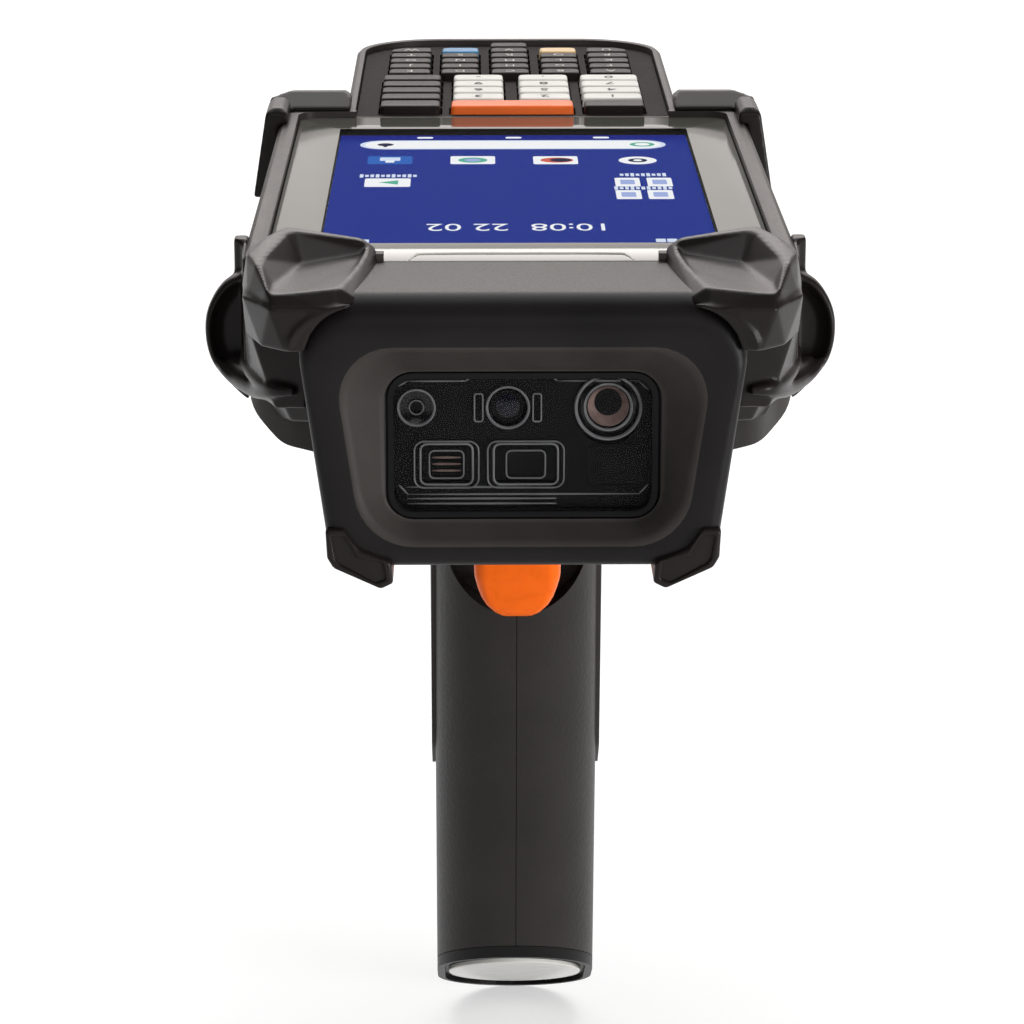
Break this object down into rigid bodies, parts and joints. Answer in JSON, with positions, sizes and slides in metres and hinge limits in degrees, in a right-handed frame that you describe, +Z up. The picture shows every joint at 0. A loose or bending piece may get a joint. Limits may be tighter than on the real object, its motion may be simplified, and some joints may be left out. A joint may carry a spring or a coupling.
{
  "type": "portable barcode data terminal",
  "caption": "Rugged handheld data terminal with a touch display, keypad, scanning nose with rubber corners and a raked pistol grip with a trigger.",
  "frame": {"origin": "centre of the bounding box on plan, at the lowest point of the grip", "axes": "+Z up out of the display, +Y from the scanning nose towards the keypad, +X across to the right seen from the nose"},
  "size_m": [0.089, 0.2238, 0.1526],
  "materials": {
    "badge_white": "smooth gloss",
    "base_black": "fine moulded texture",
    "battery_case": "fine moulded texture",
    "boot_rubber": "soft satin moulding",
    "case_black": "fine moulded texture",
    "case_grey": "fine moulded texture",
    "chassis_metal": "bead blasted",
    "circuit_board": "smooth gloss",
    "contact_gold": "gold plated",
    "display": "smooth gloss",
    "grip_plastic": "fine moulded texture",
    "key_blue": "fine moulded texture",
    "key_dark": "fine moulded texture",
    "key_orange": "fine moulded texture",
    "key_white": "fine moulded texture",
    "key_yellow": "fine moulded texture",
    "keypad_grey": "fine moulded texture",
    "latch_plastic": "fine moulded texture",
    "mat_silicone": "soft satin moulding",
    "module_black": "fine moulded texture",
    "nose_black": "fine moulded texture",
    "pin_steel": "plain turned",
    "scan_window": "polished",
    "screw_steel": "plain turned",
    "seal_rubber": "soft satin moulding",
    "spring_steel": "plain turned",
    "strap_rubber": "soft satin moulding",
    "touch_glass": "polished",
    "trigger_orange": "smooth gloss"
  },
  "bodies": {
    "terminal": {"battery_pack": "battery_case", "camera_module": "module_black", "display_panel": "display", "dock_contacts": "contact_gold", "grip_backstrap": "strap_rubber", "grip_badge": "badge_white", "grip_base": "base_black", "grip_left_shell": "grip_plastic", "grip_right_shell": "grip_plastic", "housing_gasket": "seal_rubber", "housing_screws": "screw_steel", "inner_chassis": "chassis_metal", "keypad_board": "circuit_board", "keypad_mat": "mat_silicone", "keypad_plate": "keypad_grey", "left_corner_boot": "boot_rubber", "loudspeaker": "module_black", "lower_housing": "case_black", "main_board": "circuit_board", "nose_feet": "boot_rubber", "nose_frame": "nose_black", "rear_bumpers": "boot_rubber", "right_corner_boot": "boot_rubber", "scan_bezel": "module_black", "scan_engine": "module_black", "scan_window": "scan_window", "touch_glass": "touch_glass", "trigger_pin": "pin_steel", "trigger_spring": "spring_steel", "trigger_switch": "module_black", "upper_housing": "case_grey"},
    "trigger": {"trigger": "trigger_orange"},
    "battery_latch": {"battery_latch": "latch_plastic"},
    "key_blue": {"key_blue": "key_blue"},
    "key_function_left": {"key_function_left": "key_dark"},
    "key_function_right": {"key_function_right": "key_dark"},
    "key_number_left_1": {"key_number_left_1": "key_white"},
    "key_number_left_2": {"key_number_left_2": "key_white"},
    "key_number_left_3": {"key_number_left_3": "key_white"},
    "key_number_left_4": {"key_number_left_4": "key_white"},
    "key_number_middle_1": {"key_number_middle_1": "key_white"},
    "key_number_middle_2": {"key_number_middle_2": "key_white"},
    "key_number_middle_3": {"key_number_middle_3": "key_white"},
    "key_number_middle_4": {"key_number_middle_4": "key_white"},
    "key_number_right_1": {"key_number_right_1": "key_white"},
    "key_number_right_2": {"key_number_right_2": "key_white"},
    "key_number_right_3": {"key_number_right_3": "key_white"},
    "key_number_right_4": {"key_number_right_4": "key_white"},
    "key_power": {"key_power": "key_dark"},
    "key_scan_orange": {"key_scan_orange": "key_orange"},
    "key_side_1": {"key_side_1": "key_dark"},
    "key_side_2": {"key_side_2": "key_dark"},
    "key_side_3": {"key_side_3": "key_dark"},
    "key_side_4": {"key_side_4": "key_dark"},
    "key_yellow": {"key_yellow": "key_yellow"},
    "keys_letter_row_1": {"keys_letter_row_1": "key_dark"},
    "keys_letter_row_2": {"keys_letter_row_2": "key_dark"},
    "keys_letter_row_3": {"keys_letter_row_3": "key_dark"},
    "keys_letter_row_4": {"keys_letter_row_4": "key_dark"},
    "keys_letter_row_5": {"keys_letter_row_5": "key_dark"}
  },
  "joints": [
    {"name": "trigger_pull", "type": "hinge", "parent": "terminal", "child": "trigger", "pos_m": [0, -0.03365, 0.104], "axis": [1, 0, 0], "range_deg": [0, 8], "stiffness_Nm_per_rad": 0.35, "springref_deg": -8.59, "deforming": ["trigger_spring"]},
    {"name": "latch_slide", "type": "slide", "parent": "terminal", "child": "battery_latch", "axis": [0, -1, 0], "range_m": [0, 0.0026], "stiffness_N_per_m": 400, "springref_m": -0.002},
    {"name": "press_blue", "type": "slide", "parent": "terminal", "child": "key_blue", "axis": [0, 0, -1], "range_m": [0, 0.0008], "stiffness_N_per_m": 700, "springref_m": -0.0006},
    {"name": "press_function_left", "type": "slide", "parent": "terminal", "child": "key_function_left", "axis": [0, 0, -1], "range_m": [0, 0.0008], "stiffness_N_per_m": 700, "springref_m": -0.0006},
    {"name": "press_function_right", "type": "slide", "parent": "terminal", "child": "key_function_right", "axis": [0, 0, -1], "range_m": [0, 0.0008], "stiffness_N_per_m": 700, "springref_m": -0.0006},
    {"name": "press_number_left_1", "type": "slide", "parent": "terminal", "child": "key_number_left_1", "axis": [0, 0, -1], "range_m": [0, 0.0008], "stiffness_N_per_m": 700, "springref_m": -0.0006},
    {"name": "press_number_left_2", "type": "slide", "parent": "terminal", "child": "key_number_left_2", "axis": [0, 0, -1], "range_m": [0, 0.0008], "stiffness_N_per_m": 700, "springref_m": -0.0006},
    {"name": "press_number_left_3", "type": "slide", "parent": "terminal", "child": "key_number_left_3", "axis": [0, 0, -1], "range_m": [0, 0.0008], "stiffness_N_per_m": 700, "springref_m": -0.0006},
    {"name": "press_number_left_4", "type": "slide", "parent": "terminal", "child": "key_number_left_4", "axis": [0, 0, -1], "range_m": [0, 0.0008], "stiffness_N_per_m": 700, "springref_m": -0.0006},
    {"name": "press_number_middle_1", "type": "slide", "parent": "terminal", "child": "key_number_middle_1", "axis": [0, 0, -1], "range_m": [0, 0.0008], "stiffness_N_per_m": 700, "springref_m": -0.0006},
    {"name": "press_number_middle_2", "type": "slide", "parent": "terminal", "child": "key_number_middle_2", "axis": [0, 0, -1], "range_m": [0, 0.0008], "stiffness_N_per_m": 700, "springref_m": -0.0006},
    {"name": "press_number_middle_3", "type": "slide", "parent": "terminal", "child": "key_number_middle_3", "axis": [0, 0, -1], "range_m": [0, 0.0008], "stiffness_N_per_m": 700, "springref_m": -0.0006},
    {"name": "press_number_middle_4", "type": "slide", "parent": "terminal", "child": "key_number_middle_4", "axis": [0, 0, -1], "range_m": [0, 0.0008], "stiffness_N_per_m": 700, "springref_m": -0.0006},
    {"name": "press_number_right_1", "type": "slide", "parent": "terminal", "child": "key_number_right_1", "axis": [0, 0, -1], "range_m": [0, 0.0008], "stiffness_N_per_m": 700, "springref_m": -0.0006},
    {"name": "press_number_right_2", "type": "slide", "parent": "terminal", "child": "key_number_right_2", "axis": [0, 0, -1], "range_m": [0, 0.0008], "stiffness_N_per_m": 700, "springref_m": -0.0006},
    {"name": "press_number_right_3", "type": "slide", "parent": "terminal", "child": "key_number_right_3", "axis": [0, 0, -1], "range_m": [0, 0.0008], "stiffness_N_per_m": 700, "springref_m": -0.0006},
    {"name": "press_number_right_4", "type": "slide", "parent": "terminal", "child": "key_number_right_4", "axis": [0, 0, -1], "range_m": [0, 0.0008], "stiffness_N_per_m": 700, "springref_m": -0.0006},
    {"name": "press_power", "type": "slide", "parent": "terminal", "child": "key_power", "axis": [0, 0, -1], "range_m": [0, 0.0008], "stiffness_N_per_m": 700, "springref_m": -0.0006},
    {"name": "press_scan_orange", "type": "slide", "parent": "terminal", "child": "key_scan_orange", "axis": [0, 0, -1], "range_m": [0, 0.0008], "stiffness_N_per_m": 700, "springref_m": -0.0006},
    {"name": "press_side_1", "type": "slide", "parent": "terminal", "child": "key_side_1", "axis": [0, 0, -1], "range_m": [0, 0.0008], "stiffness_N_per_m": 700, "springref_m": -0.0006},
    {"name": "press_side_2", "type": "slide", "parent": "terminal", "child": "key_side_2", "axis": [0, 0, -1], "range_m": [0, 0.0008], "stiffness_N_per_m": 700, "springref_m": -0.0006},
    {"name": "press_side_3", "type": "slide", "parent": "terminal", "child": "key_side_3", "axis": [0, 0, -1], "range_m": [0, 0.0008], "stiffness_N_per_m": 700, "springref_m": -0.0006},
    {"name": "press_side_4", "type": "slide", "parent": "terminal", "child": "key_side_4", "axis": [0, 0, -1], "range_m": [0, 0.0008], "stiffness_N_per_m": 700, "springref_m": -0.0006},
    {"name": "press_yellow", "type": "slide", "parent": "terminal", "child": "key_yellow", "axis": [0, 0, -1], "range_m": [0, 0.0008], "stiffness_N_per_m": 700, "springref_m": -0.0006},
    {"name": "press_letter_row_1", "type": "slide", "parent": "terminal", "child": "keys_letter_row_1", "axis": [0, 0, -1], "range_m": [0, 0.0008], "stiffness_N_per_m": 700, "springref_m": -0.0006},
    {"name": "press_letter_row_2", "type": "slide", "parent": "terminal", "child": "keys_letter_row_2", "axis": [0, 0, -1], "range_m": [0, 0.0008], "stiffness_N_per_m": 700, "springref_m": -0.0006},
    {"name": "press_letter_row_3", "type": "slide", "parent": "terminal", "child": "keys_letter_row_3", "axis": [0, 0, -1], "range_m": [0, 0.0008], "stiffness_N_per_m": 700, "springref_m": -0.0006},
    {"name": "press_letter_row_4", "type": "slide", "parent": "terminal", "child": "keys_letter_row_4", "axis": [0, 0, -1], "range_m": [0, 0.0008], "stiffness_N_per_m": 700, "springref_m": -0.0006},
    {"name": "press_letter_row_5", "type": "slide", "parent": "terminal", "child": "keys_letter_row_5", "axis": [0, 0, -1], "range_m": [0, 0.0008], "stiffness_N_per_m": 700, "springref_m": -0.0006}
  ]
}
